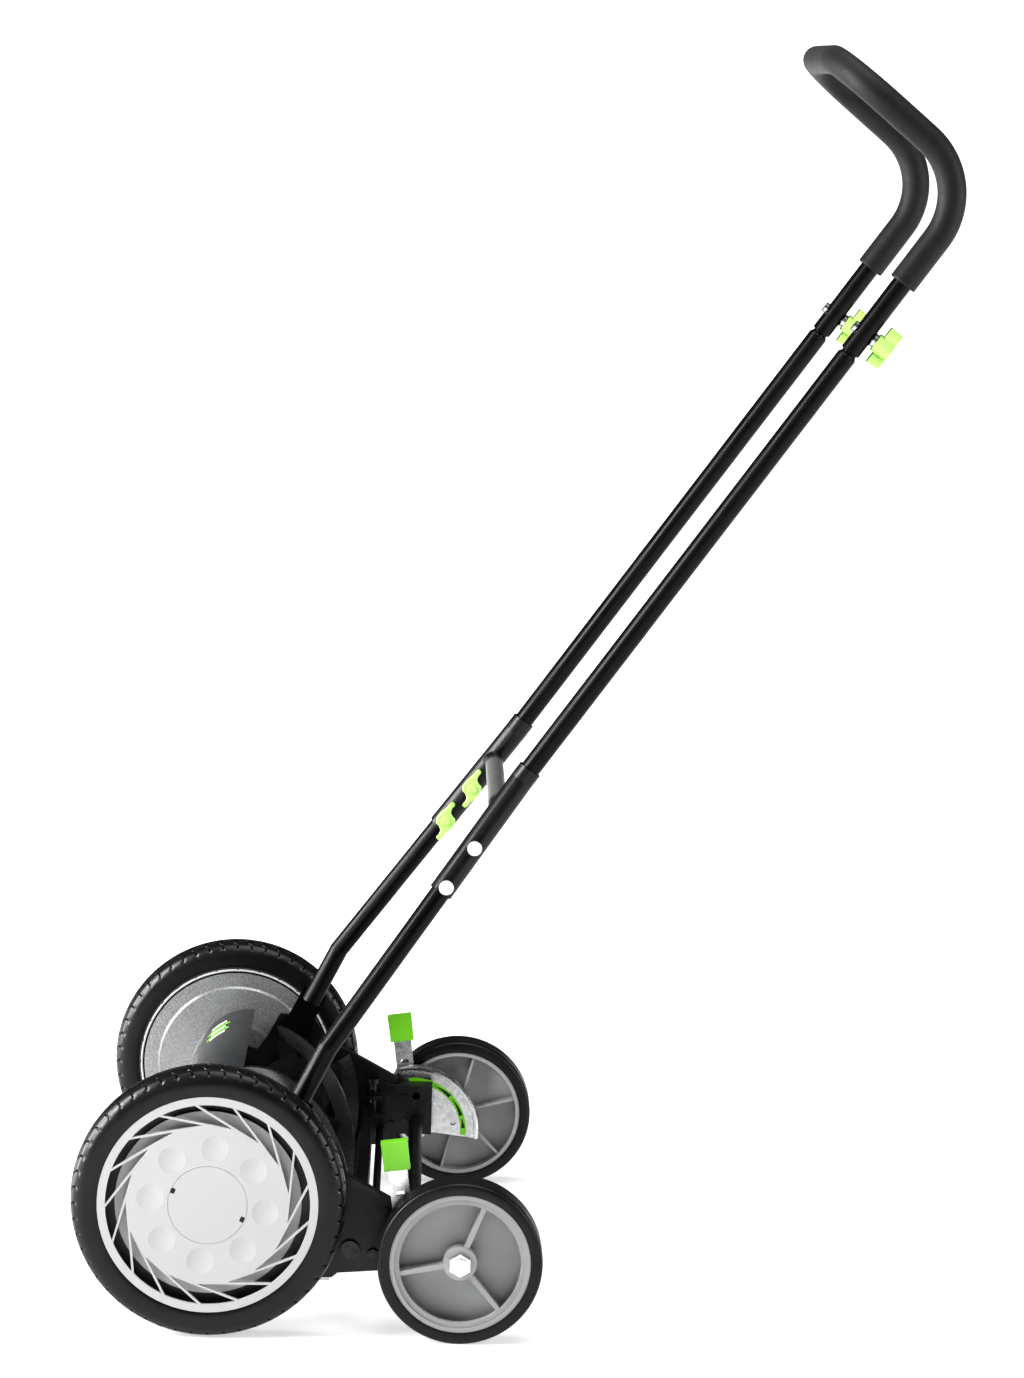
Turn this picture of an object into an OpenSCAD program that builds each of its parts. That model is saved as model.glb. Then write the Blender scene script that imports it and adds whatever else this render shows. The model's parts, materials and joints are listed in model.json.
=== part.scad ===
// Push reel mower: two geared drive wheels turn a five-blade reel against a bed knife,
// two rear wheels on ratchet levers set the height, and a U-shaped handle pushes it.
// Frame: -X is the direction of travel, +Z is up, and the ground is Z = 0.

/* [Wheels] */
// Diameter of the drive wheels
wheel_d = 254; // [240:1:306]
// Width of a drive wheel
wheel_w = 42; // [34:1:52]
// Outer radius of the drive wheel's rim
rim_r = 101.5; // [98:0.5:104]
// Diameter of the rear wheels
rear_d = 152.4; // [126:0.2:184]
// Width of a rear wheel
rear_w = 35; // [28:1:42]
// Thickness of a rear wheel's tyre
rear_tyre_t = 11.2; // [8:0.2:14]
// Radius of the drive axle
axle_r = 8; // [6:0.5:9]

/* [Cutting reel] */
// Width of cut
cut_w = 457; // [380:1:560]
// Diameter over the blades
reel_d = 138; // [114:1:166]
// Number of blades
blade_count = 5; // [5:1:7]
// Radial height of a blade
blade_h = 15; // [12:1:18]
// Thickness of a blade
blade_t = 3.5; // [2.5:0.5:5]
// Turn of a blade over the width of cut
blade_twist = 169; // [90:1:200]
// Radius of the reel shaft
shaft_r = 8; // [7:0.5:9]
// Number of spiders on the shaft
spider_count = 5; // [4:1:6]

/* [Drive gears] */
// Gear module
gear_m = 2; // [1.8:0.1:2.1]
// Teeth of the ring gear in each drive wheel
ring_teeth = 81; // [77:1:83]
// Teeth of the pinion at each end of the reel
pinion_teeth = 17; // [17:1:19]
// Face width of the gears
gear_w = 12; // [9:1:13]
// Slope of the line from the drive axle down to the reel shaft
reel_slope = 17.3; // [10:0.1:24]

/* [Side frame] */
// Thickness of a side plate
plate_t = 3; // [2:0.5:4]
// Room between the blades' ends and a side plate
blade_gap = 4.5; // [4:0.5:8]
// Room between a side plate and its drive wheel
wheel_gap = 23.2; // [23:0.1:30]
// Radius of the rear tie rod
tie_r = 7; // [5:0.5:8]
// Thickness of the guard sheet
guard_t = 2; // [1.5:0.5:3]
// Inner radius of the guard's curve
guard_r = 51.5; // [48:0.5:56]

/* [Height adjusters] */
// Distance from lever pivot to rear axle
arm_l = 49.1; // [44:0.1:56]
// Slope of the arm at the lowest setting
arm_slope = 19.2; // [12:0.1:26]
// Length of the lever above its pivot
lever_l = 123; // [110:1:140]
// Forward lean of the lever at the lowest setting
lever_lean = 8; // [5:1:12]
// Width of the lever strip
lever_w = 18; // [15:1:20]
// Outer radius of the quadrant's rolled rim
quadrant_r = 69.5; // [62:0.5:76]

/* [Handle] */
// Outer radius of the tubes
tube_r = 9.5; // [8.5:0.5:11]
// Wall of the tubes
tube_wall = 1.4; // [1:0.2:2]
// Wall of the brace sleeves
sleeve_wall = 1.9; // [1.5:0.1:3]
// Thickness of the foam grip
foam_t = 4; // [3:0.5:6]
// Slope of the long tubes
handle_slope = 54.4; // [45:0.1:65]
// Extra slope of the lowest stretch
kick = 9; // [0:1:15]
// Length of the lowest stretch
kick_l = 96.5; // [80:0.5:116]
// Length from the lower bend to the sleeves
lower_l = 174; // [145:1:209]
// Length of the sleeves
sleeve_l = 126; // [110:1:150]
// Length of the mid tubes from the sleeves to the upper handle
mid_l = 504; // [420:1:605]
// Length from the mid tubes to the corner of the upper handle
upper_l = 193.7; // [170:0.1:232]
// Turn of the upper handle's bend
bend = 85.8; // [70:0.1:95]
// Radius of the upper handle's bend
bend_r = 68; // [50:1:80]
// Length from that corner to the crossbar
top_l = 172; // [145:1:206]
// Half the distance between the long tubes
handle_half = 150; // [130:1:180]

/* [Hidden] */
$fn = 72;
fit = 0.05;          // running clearance of pins and shafts
gap = 0.3;           // clearance between faces that slide past each other

// Directions and points in the side view are [x, z], with angles from +X towards +Z.
function dir(a) = [cos(a), sin(a)];
function cross2(u, v) = u.x * v.y - u.y * v.x;
// Where the line through p along u meets the line through q along v
function meet(p, u, q, v) = p + u * cross2(q - p, v) / cross2(u, v);

// Places across the mower, measured outwards from the middle
wheel_r = wheel_d / 2;
rear_r = rear_d / 2;
reel_r = reel_d / 2;
rear_hub_r = rear_r - rear_tyre_t;
sleeve_r = tube_r + sleeve_wall;
grip_r = tube_r + foam_t;
blade_end = cut_w / 2;
plate_in = blade_end + blade_gap;
plate_out = plate_in + plate_t;
wheel_in = plate_out + wheel_gap;
wheel_out = wheel_in + wheel_w;
gear_in = wheel_in + 3;
gear_out = gear_in + gear_w;
web_in = gear_out + 6;
hub_out = wheel_out - 14;
quadrant_t = 2.5;
quadrant_in = wheel_in - 1.7;
quadrant_out = quadrant_in + quadrant_t;
lever_t = 3;
lever_in = quadrant_out + gap;
lever_out = lever_in + lever_t;
rear_in = lever_out + 3;
rear_out = rear_in + rear_w;

// Places in the side view, first from the drive axle
gear_c = gear_m * (ring_teeth - pinion_teeth) / 2;
reel_rel = gear_c * dir(-reel_slope);
pivot_rel = reel_rel + [1, reel_r - 5];
kick_rel = pivot_rel + kick_l * dir(handle_slope + kick);
top_slope = handle_slope + bend;
corner_rel = kick_rel + (lower_l + sleeve_l + mid_l + upper_l) * dir(handle_slope);
bend_rel = corner_rel + bend_r / cos(bend / 2) * dir(handle_slope + bend / 2 + 90);
// The part is centred on the box from the drive tyres' front to the grip's rearmost point
axle = [(wheel_r - (bend_rel.x + bend_r + grip_r)) / 2, wheel_r];
reel = axle + reel_rel;
handle_pivot = axle + pivot_rel;
kick_point = axle + kick_rel;
sleeve_low = kick_point + lower_l * dir(handle_slope);
sleeve_top = sleeve_low + sleeve_l * dir(handle_slope);
joint_point = sleeve_top + mid_l * dir(handle_slope);
corner = axle + corner_rel;
bend_c = axle + bend_rel;

// Height adjuster: the rear wheel stands on the ground at the lowest setting
bracket_x = reel.x + reel_r + 26;
lever_pivot = [bracket_x + 30, rear_r - arm_l * sin(arm_slope)];
rear_axle = lever_pivot + arm_l * dir(arm_slope);
lever_a = 90 + lever_lean;
stud_r = 6;
band_r0 = quadrant_r - 20;
band_r1 = quadrant_r - 14;
quadrant_a0 = -7;
quadrant_a1 = lever_a + 5;
band_a1 = lever_a - 2;

// Bed unit: bar, knife and their pivot behind the reel
bed_pivot = reel + (reel_r + 9.8) * dir(-28.8);
knife_a = -66;
knife_edge = reel + (reel_r + 0.6) * dir(knife_a);
bed_end = plate_in - 1;
bed_half = bed_end - 26;
bed_bolt_r = 5;
adjust_x = bed_pivot.x + 14;
adjust_y = plate_in - 12;
lug_z = bed_pivot.y + 32;
lug_t = 4;
bolt_r = 4;

module left() mirror([0, 1, 0]) children();
module both() {
    children();
    left() children();
}

// Round solid along Y at side-view point p, from y0 to y1
module bar(p, y0, y1, r) translate([p.x, y0, p.y]) rotate([-90, 0, 0]) cylinder(r = r, h = y1 - y0);
module tube(p, y0, y1, r0, r1) difference() {
    bar(p, y0, y1, r1);
    bar(p, y0 - 1, y1 + 1, r0);
}
// Side-view outline, its child, given thickness from y0 to y1
module slab(y0, y1) translate([0, y1, 0]) rotate([90, 0, 0]) linear_extrude(y1 - y0) children();
// Profile of [radius, y] swept about the Y line through p, a full turn or from a0 to a1
module turn(p) translate([p.x, 0, p.y]) rotate([-90, 0, 0]) rotate_extrude() children();
module arc(p, a0, a1) translate([p.x, 0, p.y]) rotate([90, 0, 0]) rotate([0, 0, a0])
    rotate_extrude(angle = a1 - a0) mirror([0, 1, 0]) children();
// Straight strip in the side view from p to q
module strip(p, q, w) {
    v = q - p;
    translate(p) rotate(atan2(v.y, v.x)) translate([0, -w / 2]) square([norm(v), w]);
}
// Round rod between two points in space
module rod(p, q, r) {
    v = q - p;
    translate(p) rotate([0, acos(v.z / norm(v)), atan2(v.y, v.x)]) cylinder(r = r, h = norm(v));
}
// Hexagonal head or nut along Y, measured across its flats
module hex(p, y0, y1, flats) translate([p.x, y0, p.y]) rotate([-90, 0, 0]) rotate(30)
    cylinder(d = flats / cos(30), h = y1 - y0, $fn = 6);

// ---- Gears ----
pressure = 20;
backlash = 0.14;     // taken off each flank at the pitch circle
function involute(a) = tan(a) * 180 / PI - a;
// Half the angle of a tooth of z teeth at radius r, widened by w at the pitch circle
function tooth_half(z, r, w) =
    let (pitch = gear_m * z / 2, base = pitch * cos(pressure))
    90 / z + w / pitch * 180 / PI + involute(pressure) - involute(acos(min(1, base / r)));
// Outline of z teeth between radii r0 and r1; flanks start at the base circle
function gear_points(z, r0, r1, w) =
    let (base = gear_m * z / 2 * cos(pressure) + 0.02, from = max(r0, base), n = 3)
    [for (i = [0 : z - 1])
        let (a = 360 * i / z)
        each concat(
            [r0 * dir(a - tooth_half(z, from, w))],
            [for (k = [0 : n]) let (r = from + (r1 - from) * k / n) r * dir(a - tooth_half(z, r, w))],
            [for (k = [n : -1 : 0]) let (r = from + (r1 - from) * k / n) r * dir(a + tooth_half(z, r, w))],
            [r0 * dir(a + tooth_half(z, from, w))])];
ring_pitch = gear_m * ring_teeth / 2;
pinion_pitch = gear_m * pinion_teeth / 2;
ring_root = ring_pitch + 1.3 * gear_m;
ring_tip = ring_pitch - 0.8 * gear_m;
ring_outer = ring_root + 4;
pinion_tip = pinion_pitch + gear_m;
pinion_root = pinion_pitch - 1.25 * gear_m;

module ring_gear() color("dimgray") slab(gear_in, gear_out) translate(axle) rotate(-reel_slope)
    difference() {
        circle(r = ring_outer);
        circle(r = ring_tip);
        polygon(gear_points(ring_teeth, ring_tip - 1, ring_root, backlash));
    }
notch_r = shaft_r + 2.6;
pawl_t = 4.4;
module pinion() color("gray") difference() {
    slab(gear_in, gear_out) translate(reel) rotate(-reel_slope)
        polygon(gear_points(pinion_teeth, pinion_root, pinion_tip, -backlash));
    bar(reel, gear_in - 1, gear_out + 1, shaft_r + fit);
    for (a = [90, 210, 330])
        slab(gear_in - 1, gear_out + 1) translate(reel) rotate(a)
            translate([0, -pawl_t / 2 - fit]) square([notch_r, pawl_t + 2 * fit]);
}
module pinion_left() left() pinion();
module pinion_right() pinion();
module ring_gear_left() left() ring_gear();
module ring_gear_right() ring_gear();

// ---- Drive wheels ----
cover_r = rim_r - 0.1;
slot_r = rim_r - 7.7;
slot_tip_r = slot_r - 20.2;
disc_r = slot_r - 8;
cap_r = 36.3;
rib_count = 17;
rib_w = 2;
rib_sweep = 39.6;
cover_in = wheel_out - 4.2;
cover_out = wheel_out - 0.8;
seat_y = cover_out - 2;

module rim() color("#3a3d40") {
    tube(axle, wheel_in, cover_in, rim_r - 4, rim_r);
    tube(axle, web_in, web_in + 3, axle_r + 6, rim_r - 3.9);
    tube(axle, gear_in, hub_out, axle_r + fit, axle_r + 8);
    tube(axle, gear_out, web_in, ring_root + 0.5, ring_outer);
}
module tyre() color("#1c1c1c") turn(axle) polygon([
    [rim_r, wheel_in + 1], [rim_r + 9, wheel_in], [wheel_r - 8, wheel_in + 1.5],
    [wheel_r - 3, wheel_in + 4], [wheel_r, wheel_in + 10], [wheel_r, wheel_out - 10],
    [wheel_r - 3, wheel_out - 4], [wheel_r - 8, wheel_out - 1.5], [rim_r + 9, wheel_out],
    [rim_r, wheel_out - 1]]);
// One slot of the cover between the ribs that start at the angles a and a - pitch
module slot(a) {
    pitch = 360 / rib_count;
    p = slot_r * dir(a);
    q = slot_r * dir(a - pitch);
    u = slot_tip_r * dir(a - rib_sweep) - p;
    v = slot_tip_r * dir(a - pitch - rib_sweep) - q;
    p_side = p + rib_w / 2 * dir(atan2(u.y, u.x) + 90);
    q_side = q - rib_w / 2 * dir(atan2(v.y, v.x) + 90);
    tip = meet(p_side, u, q_side, v);
    polygon([p_side - u, tip, q_side - v]);
}
module wheel_cover() color("whitesmoke") difference() {
    union() {
        bar(axle, cover_in, cover_out, cover_r);
        tube(axle, cover_in - 9, cover_in, slot_tip_r - 6, slot_tip_r - 3.6);
        tube(axle, cover_in - 9, cover_in - 7, slot_tip_r - 6, disc_r);
        tube(axle, web_in + 3, cover_in - 9, slot_tip_r - 6, slot_tip_r - 3.6);
    }
    slab(cover_in - 1, cover_out + 1) translate(axle) intersection() {
        circle(r = slot_r);
        for (i = [0 : rib_count - 1]) slot(97 + 360 / rib_count * i);
    }
    bar(axle, seat_y, cover_out + 1, cap_r + gap);
    bar(axle, cover_in - 1, cover_out + 1, cap_r - 5);
    for (i = [0 : 7]) {
        p = axle + 53 * dir(83.6 + 45 * i);
        translate([p.x, cover_out + 59.4, p.y]) sphere(r = 60.7);
    }
}
module centre_cap() color("whitesmoke") difference() {
    union() {
        bar(axle, seat_y, cover_out, cap_r);
        tube(axle, cover_in - 6, seat_y, cap_r - 7, cap_r - 5.1);
    }
    for (a = [158, 338])
        slab(seat_y - 1, cover_out + 1) translate(axle) rotate(a) translate([cap_r - 4, -2.5]) square([6, 5]);
}
module rim_left() left() rim();
module rim_right() rim();
module tyre_left() left() tyre();
module tyre_right() tyre();
module wheel_cover_left() left() wheel_cover();
module wheel_cover_right() wheel_cover();
module centre_cap_left() left() centre_cap();
module centre_cap_right() centre_cap();

// ---- Side frame ----
// A point at the given distance outside the blades' circle
function around(m, a) = reel + (reel_r + m) * dir(a);
bracket_top = lever_pivot.y + 52;
bracket_low = lever_pivot.y + 2;
bracket_rear = lever_pivot.x + 19;
bracket_t = 2.5;
plate_rear = bracket_x + 13;
plate_low = lever_pivot.y - 8;
slope_top = around(-7, 57);
slope_end = [plate_rear, lever_pivot.y + 60];
slope_in = plate_t / 2 * dir(atan2(slope_end.y - slope_top.y, slope_end.x - slope_top.x) - 90);
stub_flange = 20;
housing_r = 24;
bearing_r = 17.5;
guard_a0 = 86;
guard_a1 = 184;
guard_c = around(-14.8, 147);
guard_rivets = [for (a = [156, 176]) guard_c + (guard_r - 13.5) * dir(a)];
rivet_r = 2.5;
brace_rivets = [[bracket_x + 7, bracket_top - 5], [bracket_x + 7, bracket_low + 10]];
spacers = [[bracket_x + 20.5, bracket_top - 11.5], [bracket_x + 20.5, bracket_low + 13]];
catch_hole = [lever_pivot.x + 2.5, bracket_top - 9.7];
catch_r = 4;
tie_point = lever_pivot + [2.6, 14];
low_tie = [bracket_x - 4.5, lever_pivot.y + 6];
low_tie_r = 3.75;

module plate_outline() polygon([
    around(29, 168), around(36, 150), around(16, 144), around(-14, 135), around(-8, 118),
    around(11, 101), around(10, 76), slope_top, slope_end, [plate_rear, plate_low],
    [plate_rear - 14, plate_low - 2], around(11, -50), around(-5, -90), around(-6, -130), around(12, -171)]);
module side_plate() color("#202224") difference() {
    union() {
        slab(plate_in, plate_out) plate_outline();
        // flange folded outwards along the sloped top edge
        slab(plate_out - 0.01, plate_out + 9) strip(slope_top + slope_in, slope_end + slope_in, plate_t);
        // lug for the adjusting screw
        translate([adjust_x - 9, adjust_y - 8, lug_z]) cube([18, plate_in - adjust_y + 8.01, lug_t]);
    }
    bar(axle, plate_in - 1, plate_out + 1, axle_r);
    bar(reel, plate_in - 1, plate_out + 1, shaft_r + 2);
    bar(handle_pivot, plate_in - 1, plate_out + 1, bolt_r);
    bar(bed_pivot, plate_in - 1, plate_out + 1, bed_bolt_r);
    bar(low_tie, plate_in - 1, plate_out + 1, low_tie_r - 1);
    for (p = guard_rivets) bar(p, plate_in - 1, plate_out + 1, rivet_r);
    for (p = brace_rivets) bar(p, plate_in - 1, plate_out + 1, rivet_r);
    translate([adjust_x, adjust_y, lug_z - 1]) cylinder(r = bolt_r + fit, h = 6);
}
module side_plate_left() left() side_plate();
module side_plate_right() side_plate();

module front_guard() color("#4a4c4e") {
    arc(guard_c, guard_a0, guard_a1) polygon([[guard_r, -plate_in], [guard_r + guard_t, -plate_in],
        [guard_r + guard_t, plate_in], [guard_r, plate_in]]);
    // cheeks riveted inside the side plates
    both() difference() {
        arc(guard_c, guard_a1 - 36, guard_a1 - 2)
            polygon([[guard_r - 24, plate_in - guard_t], [guard_r + 0.01, plate_in - guard_t],
                [guard_r + 0.01, plate_in], [guard_r - 24, plate_in]]);
        for (p = guard_rivets) bar(p, plate_in - 3, plate_in + 1, rivet_r);
    }
}
module tie_rods() color("#202224") {
    bar(tie_point, -plate_in + bracket_t, plate_in - bracket_t, tie_r);
    bar(low_tie, -plate_in, plate_in, low_tie_r);
}
module axle_stubs() color("silver") both() {
    bar(axle, plate_in, wheel_out - 10, axle_r);
    tube(axle, plate_out, plate_out + 5, axle_r - 0.01, stub_flange);
}
module bearing_housings() color("#303234") both() difference() {
    union() {
        bar(reel, plate_out, plate_out + 4, housing_r + 6);
        bar(reel, plate_out + 4, plate_out + 14, housing_r);
    }
    bar(reel, plate_out - 1, plate_out + 15, shaft_r + 2);
    bar(reel, plate_out + 4, plate_out + 15, bearing_r);
}
module reel_bearings() color("silver") both()
    tube(reel, plate_out + 4, plate_out + 13, shaft_r + fit, bearing_r);

cover_lip = rim_r - 5.5;
module gear_cover() color("#8d8f91") difference() {
    turn(axle) polygon([[stub_flange + gap, plate_out], [45, plate_out], [46, wheel_in - 5],
        [cover_lip - 16, wheel_in - 5], [cover_lip - 14, wheel_in - 2], [cover_lip, wheel_in - 2],
        [cover_lip, wheel_in], [cover_lip - 15.5, wheel_in], [cover_lip - 17.5, wheel_in - 3],
        [43, wheel_in - 3], [42, plate_out + 2], [stub_flange + gap, plate_out + 2]]);
    bar(reel, plate_out - 1, wheel_in - 5.5, housing_r + 7);
    bar(reel, wheel_in - 6, wheel_in + 1, shaft_r + 2);
}
module gear_cover_left() left() gear_cover();
module gear_cover_right() gear_cover();

module rear_brackets() color("#202224") both() difference() {
    union() {
        slab(plate_in - bracket_t, plate_in) polygon([[bracket_x, bracket_low], [bracket_x, bracket_top + 6],
            [plate_rear, bracket_top + 2], [bracket_rear, bracket_top], [bracket_rear, bracket_low]]);
        difference() {
            slab(plate_in - 0.01, quadrant_in - 1) translate([plate_rear + 1, bracket_low])
                square([bracket_rear - plate_rear - 1, bracket_top - bracket_low]);
            slab(plate_in - 1, quadrant_in + 1) translate([plate_rear, bracket_low + bracket_t])
                square([bracket_rear - plate_rear - bracket_t, bracket_top - bracket_low - 2 * bracket_t]);
            bar(lever_pivot, quadrant_in - 4, quadrant_in + 1, stud_r + 4);
        }
    }
    for (p = brace_rivets) bar(p, plate_in - 3, plate_in + 1, rivet_r);
    for (p = spacers) bar(p, plate_in - 3, plate_in + 1, rivet_r);
    bar(catch_hole, plate_in - 3, plate_in + 1, catch_r);
    bar(tie_point, plate_in - 3, plate_in + 1, tie_r - 3);
}
module quadrant() color("silver") difference() {
    union() {
        arc(lever_pivot, quadrant_a0, quadrant_a1) polygon([[0.01, quadrant_in], [quadrant_r, quadrant_in],
            [quadrant_r, quadrant_out], [0.01, quadrant_out]]);
        bar(lever_pivot, quadrant_in, quadrant_out, 13);
        // rolled outer rim
        arc(lever_pivot, quadrant_a0, quadrant_a1) polygon([[quadrant_r - 6, quadrant_in + 0.01],
            [quadrant_r - 5, quadrant_in - 2.5], [quadrant_r - 3, quadrant_in - 3.2],
            [quadrant_r - 1, quadrant_in - 2.5], [quadrant_r, quadrant_in + 0.01]]);
    }
    bar(lever_pivot, quadrant_in - 1, quadrant_out + 1, stud_r);
    for (p = spacers) bar(p, quadrant_in - 1, quadrant_out + 1, rivet_r);
    bar(lever_pivot + (quadrant_r - 27) * dir(11.5), quadrant_in - 1, quadrant_out + 1, 3);
}
module quadrant_left() left() quadrant();
module quadrant_right() quadrant();
module scale_bands() color("#7dc832") both() arc(lever_pivot, quadrant_a0 + 2, band_a1)
    polygon([[band_r0, quadrant_in - 0.8], [band_r1, quadrant_in - 0.8], [band_r1, quadrant_in],
        [band_r0, quadrant_in]]);

module rivet(p, y0, y1) {
    bar(p, y0, y1, rivet_r);
    bar(p, y0 - 2, y0, 4);
    bar(p, y1, y1 + 2, 4);
}
module frame_rivets() color("silver") both() {
    // the guard's rivets are flush outside, under the gear cover
    for (p = guard_rivets) {
        bar(p, plate_in - guard_t, plate_out, rivet_r);
        bar(p, plate_in - guard_t - 2, plate_in - guard_t, rivet_r + 1.5);
    }
    for (p = brace_rivets) rivet(p, plate_in - bracket_t, plate_out);
    for (p = spacers) {
        bar(p, plate_in - bracket_t, quadrant_out, rivet_r);
        bar(p, plate_in - bracket_t - 1.5, plate_in - bracket_t, 4);
        tube(p, plate_in, quadrant_in, rivet_r - 0.01, 4.5);
    }
    bar(lever_pivot, quadrant_in - 3, lever_out + 1.8, stud_r);
    bar(lever_pivot, quadrant_in - 3, quadrant_in, stud_r + 3);
}
module frame_bolts() color("silver") both() {
    // handle pivots: flush inside, nut outside
    bar(handle_pivot, blade_end + 0.8, plate_out + 9, bolt_r);
    difference() {
        hex(handle_pivot, plate_out, plate_out + 6, 13);
        bar(handle_pivot, plate_out - 1, plate_out + 7, bolt_r - 0.01);
    }
    // bed pivots
    bar(bed_pivot, bed_end - 14, plate_out + 1, bed_bolt_r);
    bar(bed_pivot, plate_out, plate_out + 4, bed_bolt_r + 4);
    // tie rod ends
    bar(tie_point, plate_in - bracket_t, plate_in + 4, tie_r - 3);
    hex(tie_point, plate_in, plate_in + 5, 10);
    bar(low_tie, plate_in, plate_out + 1, low_tie_r - 1);
    hex(low_tie, plate_out, plate_out + 4, 10);
}
module wheel_clips() color("silver") both() {
    tube(axle, hub_out + gap, hub_out + gap + 1.5, axle_r, axle_r + 6);
    tube(axle, hub_out + gap + 1.5, hub_out + gap + 2.7, axle_r, axle_r + 3);
}

// ---- Bed unit ----
bed_boss_r = bed_bolt_r + 3.5;
screw_z = bed_pivot.y + 15;
tilt_room = 1.4;     // lets the bar tilt round the adjusting screws
screw_x = knife_edge.x + 15;
screw_ys = [for (k = [-1.5 : 1.5]) k * cut_w / 4];
knife_screw_r = 3;
module bed_bar() color("#202224") difference() {
    union() {
        slab(-bed_half, bed_half) polygon([bed_pivot + [3, 9], bed_pivot + [3, 28], bed_pivot + [14, 31],
            bed_pivot + [14, -7], bed_pivot + [4, -12], knife_edge + [24, -4], knife_edge + [7, -4],
            knife_edge + [7, 0], knife_edge + [22, 4], bed_pivot + [-1, -8]]);
        // the part under the knife runs the full width of cut
        slab(-blade_end, blade_end) polygon([bed_pivot + [4, -12], knife_edge + [24, -4],
            knife_edge + [7, -4], knife_edge + [7, 0], knife_edge + [22, 4], bed_pivot + [-1, -8]]);
        both() {
            bar(bed_pivot, bed_half - 1, bed_end, bed_boss_r);
            slab(bed_half - 1, bed_end) translate(bed_pivot - [0, bed_boss_r]) square([14, 2 * bed_boss_r]);
            // lug that the adjusting screw holds
            translate([bed_pivot.x + 3, bed_half - 1, screw_z]) cube([20, bed_end - 1 - bed_half, lug_t]);
        }
    }
    both() {
        bar(bed_pivot, bed_end - 15, bed_end + 1, bed_bolt_r + fit);
        translate([adjust_x, adjust_y, screw_z - 1]) cylinder(r = bolt_r + tilt_room, h = lug_t + 2);
    }
    for (y = screw_ys)
        translate([screw_x, y, knife_edge.y - 6]) cylinder(r = knife_screw_r, h = 12);
}
module bed_knife() color("silver") difference() {
    slab(-blade_end, blade_end) polygon([knife_edge, knife_edge + [2, -7], knife_edge + [22, -7],
        knife_edge + [22, -4], knife_edge + [6.5, -4], knife_edge + [6, 0]]);
    for (y = screw_ys) translate([screw_x, y, knife_edge.y - 8]) cylinder(r = knife_screw_r, h = 6);
}
module knife_screws() color("gray") for (y = screw_ys) translate([screw_x, y, knife_edge.y]) {
    translate([0, 0, -7]) cylinder(r = knife_screw_r, h = 9);
    translate([0, 0, -9]) cylinder(r = knife_screw_r + 1.6, h = 2);
}
module adjuster() color("silver") {
    translate([adjust_x, adjust_y, lug_z - 20]) cylinder(r = bolt_r, h = 36);
    translate([adjust_x, adjust_y, lug_z + 16]) cylinder(r = 6.5, h = 5);
    translate([adjust_x, adjust_y, lug_z + lug_t]) difference() {
        cylinder(d = 13 / cos(30), h = 4, $fn = 6);
        translate([0, 0, -1]) cylinder(r = bolt_r - 0.01, h = 6);
    }
}
module adjuster_left() left() adjuster();
module adjuster_right() adjuster();

// ---- Reel ----
blade_a = 20;
shaft_end = gear_out + 4;
twist_per_mm = blade_twist / cut_w;
module reel_shaft() color("gray") difference() {
    bar(reel, -shaft_end, shaft_end, shaft_r);
    both() translate([reel.x, gear_in, reel.y])
        translate([-pawl_t / 2 - fit, 1, -shaft_r - 1]) cube([pawl_t + 2 * fit, gear_w - 2, 2 * shaft_r + 2]);
}
module reel_spiders() color("#26282a") for (i = [0 : spider_count - 1]) {
    y = (i - (spider_count - 1) / 2) * (cut_w - 30) / (spider_count - 1);
    a0 = blade_a + twist_per_mm * y;
    difference() {
        union() {
            bar(reel, y - 6, y + 6, shaft_r + 6);
            slab(y - 1.5, y + 1.5) translate(reel) {
                circle(r = reel_r - blade_h - 16);
                for (k = [0 : blade_count - 1]) rotate(a0 + 360 / blade_count * k)
                    translate([0, -9]) square([reel_r - blade_h + 3, 18]);
            }
        }
        bar(reel, y - 7, y + 7, shaft_r);
    }
}
module reel_blades() color("#26282a") for (k = [0 : blade_count - 1])
    translate([reel.x, 0, reel.y]) rotate([-90, 0, 0])
        rotate(-(blade_a + 360 / blade_count * k) + blade_twist / 2)
            linear_extrude(cut_w, center = true, twist = blade_twist, slices = 56, $fn = 4)
                translate([reel_r - blade_h, -blade_t / 2]) square([blade_h, blade_t]);
module drive_pawls() color("silver") {
    translate([reel.x - pawl_t / 2, gear_in + 1.2, reel.y - 6]) cube([pawl_t, gear_w - 2.4, 6 + shaft_r - 0.3]);
    translate([reel.x - pawl_t / 2, -gear_out + 1.2, reel.y - 4]) cube([pawl_t, gear_w - 2.4, 4 + notch_r - 0.4]);
}
module shaft_clips() color("silver") both() tube(reel, gear_out + gap, gear_out + gap + 1.2, shaft_r, shaft_r + 4);

// ---- Height levers and rear wheels ----
cap_w = 25;
cap_h = 27.5;
cap_y0 = lever_in - 4.5;
cap_y1 = lever_out + 4.5;
cap_low = lever_l - cap_h;
hub_bore = 6;
module lever() color("silver") difference() {
    slab(lever_in, lever_out) {
        translate(lever_pivot) circle(r = 13);
        translate(rear_axle) circle(r = 11);
        strip(lever_pivot, rear_axle, 20);
        strip(lever_pivot, lever_pivot + (lever_l - 3) * dir(lever_a), lever_w);
    }
    bar(lever_pivot, lever_in - 1, lever_out + 1, stud_r + fit);
    bar(rear_axle, lever_in - 1, lever_out + 1, hub_bore);
    slab(lever_in - 1, lever_out + 1) translate(lever_pivot) rotate(lever_a)
        translate([quadrant_r + 1.5, -4]) square([4, 8]);
}
module lever_cap() color("#7dc832") translate([lever_pivot.x, 0, lever_pivot.y]) rotate([0, -lever_a, 0])
    difference() {
        translate([cap_low, cap_y0, -cap_w / 2]) cube([cap_h, cap_y1 - cap_y0, cap_w]);
        translate([cap_low - 1, lever_in, -lever_w / 2]) cube([cap_h - 2, lever_t, lever_w]);
    }
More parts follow.
